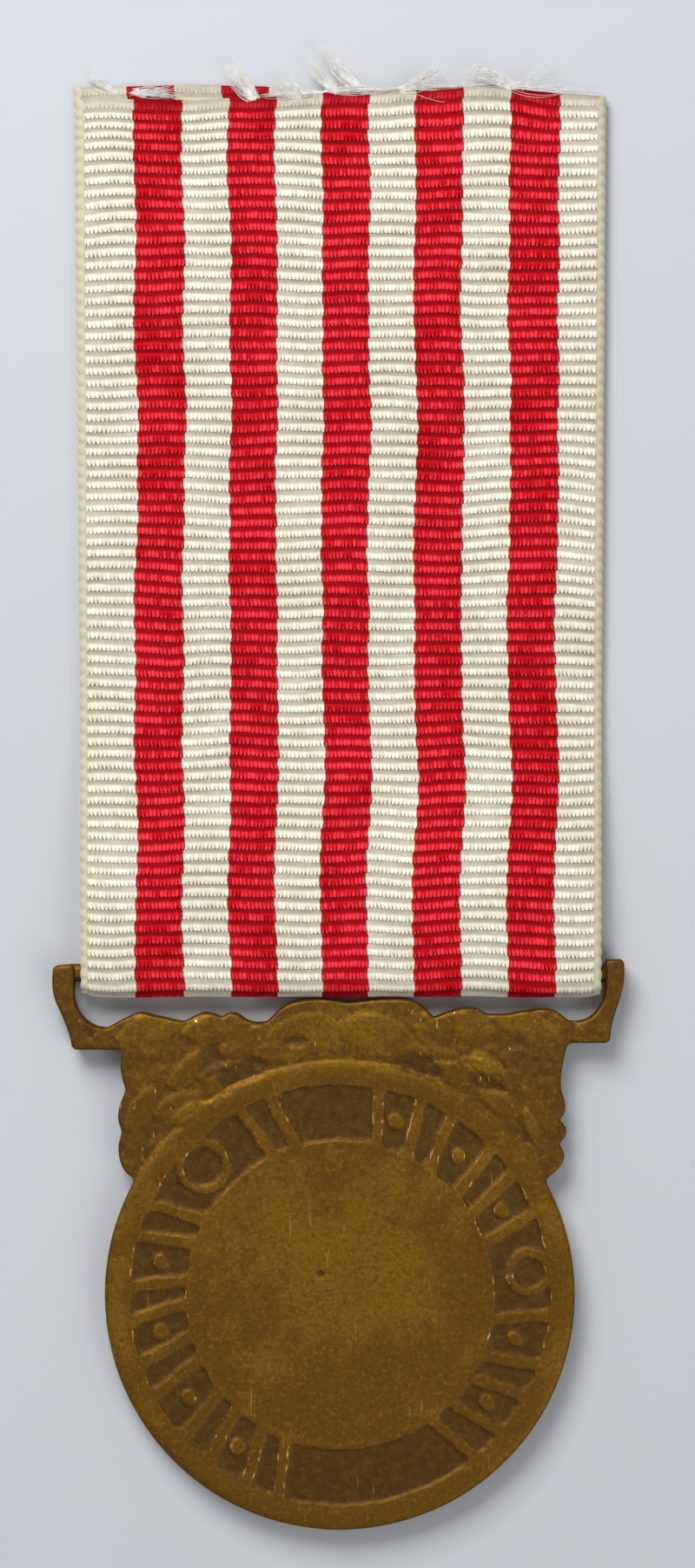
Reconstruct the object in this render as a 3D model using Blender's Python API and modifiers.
"""Service medal on a looped, striped ribbon, lying flat with its reverse side up.

The medal is struck in bronze: a round disc, a laurel crest above it and an open
suspension frame, whose bar runs through the fold of the ribbon. The ribbon is one
length of ribbed silk, doubled over the bar, with a front leaf and a back leaf.

+X runs across the ribbon, +Y up the ribbon and +Z out of the reverse side.
The origin is under the middle of the whole object, on the surface it lies on.
The medal swings on the bar, and the front leaf lifts off the back leaf.
"""

from math import atan2, cos, pi, radians, sin

import bmesh
import bpy
from mathutils import Matrix, Vector

MM = 0.001
COLLECTION_NAME = "service_medal"

# ---- Driving dimensions, in millimetres ----

# Disc
DISC_DIAMETER = 31.0
DISC_THICKNESS = 2.2
DISC_X = 0.09
DISC_Y = -32.27
RIM_INNER_RADIUS = 13.95
FIELD_RADIUS = 10.15
EDGE_ROUND = 0.3
ORNAMENT_FLOOR = 1.8
FIELD_HEIGHT = 2.0
OBVERSE_RIM_RADIUS = 14.2
OBVERSE_RECESS = 0.4
DISC_STEPS = 72

# Ornament ring of slanted bars, pellets and roundels between the rim and the plain middle
BAR_WIDTH = 0.72
BAR_TOP = 1.98
BAR_RHYTHM = (9.0, 12.0, 9.5, 14.0)
BAR_SLANT = 11.0
BAR_ARCS = ((78.0, -64.0), (108.0, 256.0))
PELLET_RADIUS = 0.45
PELLET_GAP = 11.0
PELLET_SIDES = 16
ROUNDELS = ((136.7, 12.35, 1.75), (6.9, 12.55, 1.5))
ROUNDEL_WALL = 0.45
ROUNDEL_CLEARANCE = 4.5

# Crest and suspension frame
METAL_GAP = 0.05
CREST_BOTTOM = 0.35
CREST_TOP = 1.8
CREST_EDGE_ROUND = 0.2
LEAF_HEIGHT = 0.28
LEAF_LENGTH = 3.0
LEAF_WIDTH = 1.15
LEAVES_PER_SIDE = 7
ARM_BOTTOM = 0.3
ARM_TOP = 1.9
ARM_EDGE_ROUND = 0.25
BAR_Y = -11.07
BAR_SECTION = 1.2
BAR_ROUND = 0.4
SLOT_LEFT = -17.42
SLOT_RIGHT = 17.65

# Ribbon
RIBBON_LEFT = -16.95
RIBBON_RIGHT = 17.3
RIBBON_THICKNESS = 0.36
FIRST_STRIPE_EDGE = -13.4
LAST_STRIPE_EDGE = 14.4
BAND_COUNT = 11
BAND_GAP = 0.04
FOLD_INNER_RADIUS = 0.74
FOLD_DROP = 0.53
BACK_LEAF_END = 47.77
FRONT_LEAF_END = 47.1
LEAF_SPACE = 0.08
SLOPE_LENGTH = 20.0
HINGE_Y = -9.5
FOLD_STEPS = 14
LEAF_STEPS = 12

# ---- Sizes that follow ----

DISC_RADIUS = DISC_DIAMETER / 2
PIVOT_Z = DISC_THICKNESS / 2
FOLD_MIDDLE_RADIUS = FOLD_INNER_RADIUS + RIBBON_THICKNESS / 2
BACK_MIDDLE = PIVOT_Z - FOLD_MIDDLE_RADIUS
FRONT_MIDDLE_HIGH = PIVOT_Z + FOLD_MIDDLE_RADIUS
FRONT_MIDDLE_LOW = BACK_MIDDLE + RIBBON_THICKNESS + LEAF_SPACE
FOLD_CENTRE_Y = BAR_Y - FOLD_DROP
STRIPE_PITCH = (LAST_STRIPE_EDGE - FIRST_STRIPE_EDGE) / (BAND_COUNT - 2)

# Smooth and cornered points of the cast outlines: (x, y, is_corner), in millimetres
CREST_TOP_EDGE = (
    (-15.30, -14.72, True),
    (-13.75, -13.90, False),
    (-13.10, -13.67, False),
    (-12.10, -13.88, False),
    (-10.20, -14.30, True),
    (-9.40, -13.88, False),
    (-8.80, -13.67, False),
    (-7.65, -13.98, True),
    (-7.10, -13.67, False),
    (-5.70, -14.30, False),
    (-4.72, -14.30, True),
    (-3.52, -13.22, False),
    (-2.30, -12.86, False),
    (-1.00, -12.80, False),
    (0.66, -13.02, True),
    (3.30, -12.79, False),
    (4.89, -12.90, False),
    (5.64, -13.33, False),
    (6.32, -14.02, True),
    (7.29, -13.62, False),
    (8.95, -13.39, False),
    (9.81, -13.79, True),
    (11.20, -13.78, False),
    (12.39, -13.56, False),
    (14.16, -13.52, False),
    (15.20, -14.22, True),
    (15.70, -14.28, True),
)
CREST_RIGHT_SIDE = (
    (15.14, -15.68, True),
    (14.90, -16.59, False),
    (14.67, -18.40, False),
    (14.96, -20.19, False),
    (14.59, -20.72, True),
    (15.07, -21.50, False),
    (14.59, -22.30, True),
    (14.90, -23.20, False),
    (14.33, -24.14, False),
    (13.70, -24.62, True),
)
CREST_LEFT_SIDE = (
    (-13.24, -24.70, True),
    (-14.04, -24.20, False),
    (-14.52, -22.70, False),
    (-14.30, -21.55, True),
    (-14.55, -20.50, False),
    (-14.04, -18.75, True),
    (-14.35, -17.60, False),
    (-14.30, -16.13, True),
    (-15.14, -16.13, True),
)
LEFT_ARM_OUTLINE = (
    (-17.42, -10.50, True),
    (-18.85, -10.60, True),
    (-18.82, -12.41, False),
    (-18.28, -13.79, False),
    (-17.76, -15.16, False),
    (-17.55, -16.13, True),
    (-15.19, -16.13, True),
    (-15.36, -14.72, True),
    (-16.16, -14.50, False),
    (-16.96, -13.85, False),
    (-17.40, -12.85, False),
    (-17.42, -11.80, True),
)
RIGHT_ARM_OUTLINE = (
    (18.85, -10.18, True),
    (17.65, -10.18, True),
    (17.65, -11.80, True),
    (17.50, -12.85, False),
    (17.08, -13.55, False),
    (16.62, -14.00, False),
    (15.76, -14.30, True),
    (15.20, -15.68, True),
    (17.70, -15.68, True),
    (17.93, -15.50, True),
    (18.05, -14.47, False),
    (18.68, -12.41, False),
    (18.85, -11.50, False),
)

BRONZE = ("bronze", (0.30, 0.17, 0.05), 0.45, 0.85)
WHITE_SILK = ("white_silk", (0.80, 0.76, 0.64), 0.6, 0.0)
RED_SILK = ("red_silk", (0.52, 0.02, 0.035), 0.6, 0.0)


# ---- Scene helpers ----

def clear_scene():
    """Remove whatever objects the file opened with."""
    for old in list(bpy.data.objects):
        bpy.data.objects.remove(old, do_unlink=True)


def new_collection(name):
    """A collection linked to the scene."""
    made = bpy.data.collections.new(name)
    bpy.context.scene.collection.children.link(made)
    return made


def make_material(settings):
    """A Principled material from (name, colour, roughness, metallic)."""
    name, colour, roughness, metallic = settings
    made = bpy.data.materials.new(name)
    made.use_nodes = True
    shader = made.node_tree.nodes["Principled BSDF"]
    shader.inputs["Base Color"].default_value = (*colour, 1.0)
    shader.inputs["Roughness"].default_value = roughness
    shader.inputs["Metallic"].default_value = metallic
    made.diffuse_color = (*colour, 1.0)
    return made


def add_object(name, mesh, look, home, place=(0.0, 0.0, 0.0)):
    """An object holding a mesh, at a place given in millimetres."""
    mesh.materials.clear()
    mesh.materials.append(look)
    made = bpy.data.objects.new(name, mesh)
    made.location = Vector(place) * MM
    home.objects.link(made)
    return made


def make_cutter(name, mesh, home, place=(0.0, 0.0, 0.0)):
    """A helper object that shapes another one and is not part of the medal."""
    made = bpy.data.objects.new(name, mesh)
    made.location = Vector(place) * MM
    made.hide_render = True
    made.display_type = "WIRE"
    home.objects.link(made)
    return made


def combine(target, helper, operation):
    """Add a Boolean modifier that unites with or cuts by a helper object."""
    step = target.modifiers.new(operation.lower(), "BOOLEAN")
    step.operation = operation
    step.solver = "EXACT"
    step.object = helper


def round_edges(target, width, segments):
    """Add a Bevel modifier to the sharp edges."""
    step = target.modifiers.new("rounded_edges", "BEVEL")
    step.width = width * MM
    step.segments = segments
    step.limit_method = "ANGLE"
    step.angle_limit = radians(50)


def make_pivot(name, place, home, children):
    """An empty on a joint's axis that carries the pieces that move together."""
    pivot = bpy.data.objects.new(name, None)
    pivot.location = Vector(place) * MM
    pivot.empty_display_size = 3 * MM
    home.objects.link(pivot)
    for child in children:
        child.parent = pivot
        child.matrix_parent_inverse = Matrix.Translation(-pivot.location)
    return pivot


# ---- Shape helpers ----

def mesh_from_curve(curve, name):
    """The closed mesh that a curve makes, with its caps welded."""
    carrier = bpy.data.objects.new(name, curve)
    bpy.context.scene.collection.objects.link(carrier)
    graph = bpy.context.evaluated_depsgraph_get()
    mesh = bpy.data.meshes.new_from_object(carrier.evaluated_get(graph))
    bpy.data.objects.remove(carrier, do_unlink=True)
    mesh.name = name
    work = bmesh.new()
    work.from_mesh(mesh)
    bmesh.ops.remove_doubles(work, verts=work.verts, dist=1e-7)
    bmesh.ops.recalc_face_normals(work, faces=work.faces)
    work.to_mesh(mesh)
    work.free()
    return mesh


def flat_curve(name, depth):
    """A filled two-dimensional curve, extruded to a depth in millimetres."""
    curve = bpy.data.curves.new(name, "CURVE")
    curve.dimensions = "2D"
    curve.fill_mode = "BOTH"
    curve.extrude = depth / 2 * MM
    return curve


def cast_plate(name, outline, depth):
    """A flat plate whose outline runs through smooth and cornered points."""
    curve = flat_curve(name, depth)
    curve.resolution_u = 4
    spline = curve.splines.new("BEZIER")
    spline.bezier_points.add(len(outline) - 1)
    spline.use_cyclic_u = True
    for point, (x, y, is_corner) in zip(spline.bezier_points, outline):
        point.co = (x * MM, y * MM, 0.0)
        kind = "VECTOR" if is_corner else "AUTO"
        point.handle_left_type = kind
        point.handle_right_type = kind
    return mesh_from_curve(curve, name)


def extruded_profile(name, profile, width):
    """A straight strip: a closed (y, z) profile, pushed out along X."""
    curve = flat_curve(name, width)
    spline = curve.splines.new("POLY")
    spline.points.add(len(profile) - 1)
    spline.use_cyclic_u = True
    for point, (y, z) in zip(spline.points, profile):
        point.co = (y * MM, z * MM, 0.0, 1.0)
    mesh = mesh_from_curve(curve, name)
    upright = Matrix(((0, 0, 1, 0), (1, 0, 0, 0), (0, 1, 0, 0), (0, 0, 0, 1)))
    mesh.transform(upright)
    return mesh


def turned_mesh(name, profile, steps):
    """A closed turned solid from (radius, z) points that start and end on the axis."""
    work = bmesh.new()
    corners = [work.verts.new((r * MM, 0.0, z * MM)) for r, z in profile]
    edges = [work.edges.new(pair) for pair in zip(corners, corners[1:])]
    bmesh.ops.spin(work, geom=corners + edges, cent=(0, 0, 0), axis=(0, 0, 1),
                   angle=2 * pi, steps=steps, use_merge=True)
    bmesh.ops.remove_doubles(work, verts=work.verts, dist=1e-7)
    bmesh.ops.recalc_face_normals(work, faces=work.faces)
    mesh = bpy.data.meshes.new(name)
    work.to_mesh(mesh)
    work.free()
    mesh.shade_smooth()
    mesh.set_sharp_from_angle(angle=radians(30))
    return mesh


# ---- Disc ----

def disc_profile():
    """Half section of the disc, from the middle of the reverse round to the obverse."""
    top = DISC_THICKNESS
    edge = DISC_RADIUS - EDGE_ROUND
    return (
        (0.0, FIELD_HEIGHT),
        (FIELD_RADIUS - 0.3, FIELD_HEIGHT),
        (FIELD_RADIUS, ORNAMENT_FLOOR),
        (RIM_INNER_RADIUS, ORNAMENT_FLOOR),
        (RIM_INNER_RADIUS + 0.3, top),
        (edge, top),
        (DISC_RADIUS, top - EDGE_ROUND),
        (DISC_RADIUS, EDGE_ROUND),
        (edge, 0.0),
        (OBVERSE_RIM_RADIUS, 0.0),
        (OBVERSE_RIM_RADIUS - 0.3, OBVERSE_RECESS),
        (0.0, OBVERSE_RECESS),
    )


def clear_of_roundels(angle):
    """Whether a bar at this angle stays off both roundels."""
    for roundel_angle, radius, size in ROUNDELS:
        if abs(angle - roundel_angle) < (size / radius) * 180 / pi + ROUNDEL_CLEARANCE:
            return False
    return True


def bar_angles():
    """Angle in degrees of each bar, walking round both arcs in an uneven rhythm."""
    angles = []
    for start, end in BAR_ARCS:
        way = 1 if end > start else -1
        angle = start
        while way * (end - angle) > -1:
            if clear_of_roundels(angle):
                angles.append(angle)
            angle += way * BAR_RHYTHM[len(angles) % len(BAR_RHYTHM)]
    return angles


def pellet_angles():
    """Angle in degrees of a pellet in each wide cell between two bars."""
    angles = sorted(bar_angles())
    return [(a + b) / 2 for a, b in zip(angles, angles[1:]) if PELLET_GAP < b - a < 20]


def ornament_place(angle, height):
    """Where something of this height stands in the middle of the ornament ring."""
    middle = (RIM_INNER_RADIUS + FIELD_RADIUS) / 2
    shift = Matrix.Translation(Vector((middle, 0.0, BAR_TOP - height / 2)) * MM)
    return Matrix.Rotation(radians(angle), 4, "Z") @ shift


def add_bar(work, angle):
    """One raised bar across the ornament ring."""
    height = BAR_TOP - ORNAMENT_FLOOR + 0.3
    length = RIM_INNER_RADIUS - FIELD_RADIUS + 0.5
    size = Matrix.Diagonal((length * MM, BAR_WIDTH * MM, height * MM, 1.0))
    turn = Matrix.Rotation(radians(BAR_SLANT), 4, "Z")
    bmesh.ops.create_cube(work, size=1.0, matrix=ornament_place(angle, height) @ turn @ size)


def add_pellet(work, angle):
    """One raised pellet in the middle of a cell."""
    height = BAR_TOP - ORNAMENT_FLOOR + 0.3
    bmesh.ops.create_cone(work, cap_ends=True, segments=PELLET_SIDES,
                          radius1=PELLET_RADIUS * MM, radius2=PELLET_RADIUS * MM,
                          depth=height * MM, matrix=ornament_place(angle, height))


def roundel_profile(size):
    """Half section of a small raised ring, as a closed loop of (radius, z)."""
    return (
        (size, ORNAMENT_FLOOR - 0.3),
        (size, BAR_TOP - 0.1),
        (size - 0.12, BAR_TOP),
        (size - ROUNDEL_WALL + 0.12, BAR_TOP),
        (size - ROUNDEL_WALL, BAR_TOP - 0.1),
        (size - ROUNDEL_WALL, ORNAMENT_FLOOR - 0.3),
    )


def ring_mesh(name, profile, steps, place):
    """A ring turned from a closed profile that does not touch the axis."""
    work = bmesh.new()
    corners = [work.verts.new((r * MM, 0.0, z * MM)) for r, z in profile]
    edges = [work.edges.new(pair) for pair in zip(corners, corners[1:] + corners[:1])]
    bmesh.ops.spin(work, geom=corners + edges, cent=(0, 0, 0), axis=(0, 0, 1),
                   angle=2 * pi, steps=steps, use_merge=True)
    bmesh.ops.remove_doubles(work, verts=work.verts, dist=1e-7)
    bmesh.ops.recalc_face_normals(work, faces=work.faces)
    bmesh.ops.translate(work, verts=work.verts, vec=Vector(place) * MM)
    mesh = bpy.data.meshes.new(name)
    work.to_mesh(mesh)
    work.free()
    return mesh


def build_disc(look, home, cutters):
    """The struck disc: rim, ornament ring and plain middle, with a recessed obverse."""
    place = (DISC_X, DISC_Y, 0.0)
    disc = add_object("medal_disc", turned_mesh("medal_disc", disc_profile(), DISC_STEPS),
                      look, home, place)
    work = bmesh.new()
    for angle in bar_angles():
        add_bar(work, angle)
    for angle in pellet_angles():
        add_pellet(work, angle)
    bars = bpy.data.meshes.new("ornament_bars")
    work.to_mesh(bars)
    work.free()
    combine(disc, make_cutter("ornament_bars", bars, cutters, place), "UNION")
    for number, (angle, radius, size) in enumerate(ROUNDELS, start=1):
        spot = (radius * cos(radians(angle)), radius * sin(radians(angle)), 0.0)
        name = f"roundel_{number}"
        ring = ring_mesh(name, roundel_profile(size), 20, spot)
        combine(disc, make_cutter(name, ring, cutters, place), "UNION")
    return disc


# ---- Crest and suspension frame ----

def add_leaf(work, x, y, direction):
    """One low laurel leaf lying on the crest."""
    size = Matrix.Diagonal((LEAF_LENGTH / 2, LEAF_WIDTH / 2, LEAF_HEIGHT, 1.0))
    turn = Matrix.Rotation(direction, 4, "Z")
    shift = Matrix.Translation(Vector((x, y, CREST_TOP - 0.03)) * MM)
    bmesh.ops.create_uvsphere(work, u_segments=10, v_segments=6, radius=MM,
                              matrix=shift @ turn @ size)


def laurel_leaves():
    """The leaves of both sprays, in two rows that follow the disc's edge."""
    work = bmesh.new()
    for side in (1, -1):
        for number in range(LEAVES_PER_SIDE):
            angle = radians(44 + 6.4 * number)
            reach = DISC_RADIUS + (1.35 if number % 2 else 2.75)
            x = DISC_X + side * reach * cos(angle)
            y = DISC_Y + reach * sin(angle)
            lean = radians(14 if number % 2 else -12)
            add_leaf(work, x, y, side * (angle + pi / 2 + lean))
    mesh = bpy.data.meshes.new("laurel_leaves")
    work.to_mesh(mesh)
    work.free()
    return mesh


def build_crest(look, home, cutters):
    """The wide laurel crest, hollowed below to sit round the top of the disc."""
    inside = ((11.5, -28.0, True), (-11.5, -28.0, True))
    outline = CREST_TOP_EDGE + CREST_RIGHT_SIDE + inside + CREST_LEFT_SIDE
    depth = CREST_TOP - CREST_BOTTOM
    mesh = cast_plate("laurel_crest", outline, depth)
    crest = add_object("laurel_crest", mesh, look, home, (0.0, 0.0, CREST_BOTTOM + depth / 2))
    round_edges(crest, CREST_EDGE_ROUND, 2)
    seat = turned_mesh("disc_seat", ((0.0, 4.0), (DISC_RADIUS + METAL_GAP, 4.0),
                                     (DISC_RADIUS + METAL_GAP, -2.0), (0.0, -2.0)), 96)
    combine(crest, make_cutter("disc_seat", seat, cutters, (DISC_X, DISC_Y, 0.0)), "DIFFERENCE")
    leaves = make_cutter("laurel_leaves", laurel_leaves(), cutters)
    combine(crest, leaves, "UNION")
    return crest


def build_arm(name, outline, look, home):
    """One side of the suspension frame, flared where it runs into the crest."""
    depth = ARM_TOP - ARM_BOTTOM
    arm = add_object(name, cast_plate(name, outline, depth), look, home,
                     (0.0, 0.0, ARM_BOTTOM + depth / 2))
    round_edges(arm, ARM_EDGE_ROUND, 2)
    return arm


def build_bar(look, home):
    """The bar across the top of the frame, which the ribbon is doubled over."""
    length = SLOT_RIGHT - SLOT_LEFT - 2 * METAL_GAP
    work = bmesh.new()
    size = Matrix.Diagonal((length * MM, BAR_SECTION * MM, BAR_SECTION * MM, 1.0))
    bmesh.ops.create_cube(work, size=1.0, matrix=size)
    mesh = bpy.data.meshes.new("suspension_bar")
    work.to_mesh(mesh)
    work.free()
    middle = (SLOT_LEFT + SLOT_RIGHT) / 2
    bar = add_object("suspension_bar", mesh, look, home, (middle, BAR_Y, PIVOT_Z))
    long_edges = mesh.attributes.new("bevel_weight_edge", "FLOAT", "EDGE")
    for edge in mesh.edges:
        start, end = (mesh.vertices[index].co for index in edge.vertices)
        long_edges.data[edge.index].value = 1.0 if abs(start.x - end.x) > 0.5 * length * MM else 0.0
    step = bar.modifiers.new("rounded_edges", "BEVEL")
    step.width = BAR_ROUND * MM
    step.segments = 4
    step.limit_method = "WEIGHT"
    return bar


# ---- Ribbon ----

def front_middle(y):
    """Height of the middle of the front leaf's cloth at a place along Y."""
    t = min(max((y - BAR_Y) / SLOPE_LENGTH, 0.0), 1.0)
    fall = t * t * (3 - 2 * t)
    return FRONT_MIDDLE_HIGH + (FRONT_MIDDLE_LOW - FRONT_MIDDLE_HIGH) * fall


def thick_profile(path):
    """A closed (y, z) profile: a path with half the cloth's thickness on each side."""
    half = RIBBON_THICKNESS / 2
    outer = []
    inner = []
    for number, (y, z) in enumerate(path):
        before = path[max(number - 1, 0)]
        after = path[min(number + 1, len(path) - 1)]
        along = atan2(after[1] - before[1], after[0] - before[0])
        outer.append((y - half * sin(along), z + half * cos(along)))
        inner.append((y + half * sin(along), z - half * cos(along)))
    return outer + inner[::-1]


def fold_path():
    """Middle line of the fold: from the front leaf, round under the bar, to the back."""
    top_points = 3
    path = []
    for number in range(top_points):
        y = HINGE_Y - BAND_GAP / 2 + (BAR_Y - HINGE_Y) * number / (top_points - 1)
        path.append((y, front_middle(y)))
    for number in range(FOLD_STEPS + 1):
        angle = pi / 2 + pi * number / FOLD_STEPS
        path.append((FOLD_CENTRE_Y + FOLD_MIDDLE_RADIUS * cos(angle),
                     PIVOT_Z + FOLD_MIDDLE_RADIUS * sin(angle)))
    path.append((HINGE_Y - BAND_GAP / 2, BACK_MIDDLE))
    return path


def front_path():
    """Middle line of the front leaf, from the hinge line to its cut end."""
    start = HINGE_Y + BAND_GAP / 2
    slope_end = BAR_Y + SLOPE_LENGTH
    path = []
    for number in range(LEAF_STEPS + 1):
        y = start + (slope_end - start) * number / LEAF_STEPS
        path.append((y, front_middle(y)))
    path.append((FRONT_LEAF_END, FRONT_MIDDLE_LOW))
    return path


def back_path():
    """Middle line of the back leaf, flat on the ground."""
    return [(HINGE_Y + BAND_GAP / 2, BACK_MIDDLE), (BACK_LEAF_END, BACK_MIDDLE)]


def band_edges():
    """Left and right edge of each band; the two outer ones also hold the selvedges."""
    inner = [FIRST_STRIPE_EDGE + STRIPE_PITCH * number for number in range(BAND_COUNT - 1)]
    lines = [RIBBON_LEFT] + inner + [RIBBON_RIGHT]
    return list(zip(lines, lines[1:]))


def build_bands(part_name, path, white, red, home):
    """One stretch of the ribbon, as a separate strip for each colour of yarn."""
    profile = thick_profile(path)
    bands = []
    for number, (left, right) in enumerate(band_edges()):
        is_red = number % 2 == 1
        colour = "red" if is_red else "white"
        name = f"{part_name}_{colour}_{number // 2 + 1}"
        mesh = extruded_profile(name, profile, right - left - BAND_GAP)
        place = ((left + right) / 2, 0.0, 0.0)
        bands.append(add_object(name, mesh, red if is_red else white, home, place))
    return bands


# ---- Assembly ----

def main():
    """Build every piece and hang the moving ones on their pivots."""
    clear_scene()
    home = new_collection(COLLECTION_NAME)
    cutters = new_collection("cutters")
    bronze = make_material(BRONZE)
    white = make_material(WHITE_SILK)
    red = make_material(RED_SILK)

    medal = [
        build_disc(bronze, home, cutters),
        build_crest(bronze, home, cutters),
        build_arm("suspension_arm_left", LEFT_ARM_OUTLINE, bronze, home),
        build_arm("suspension_arm_right", RIGHT_ARM_OUTLINE, bronze, home),
        build_bar(bronze, home),
    ]
    make_pivot("medal_pivot", (0.0, BAR_Y, PIVOT_Z), home, medal)

    build_bands("back_leaf", back_path(), white, red, home)
    build_bands("fold", fold_path(), white, red, home)
    front = build_bands("front_leaf", front_path(), white, red, home)
    hinge_height = front_middle(HINGE_Y) + RIBBON_THICKNESS / 2
    make_pivot("front_leaf_hinge", (0.0, HINGE_Y, hinge_height), home, front)


main()
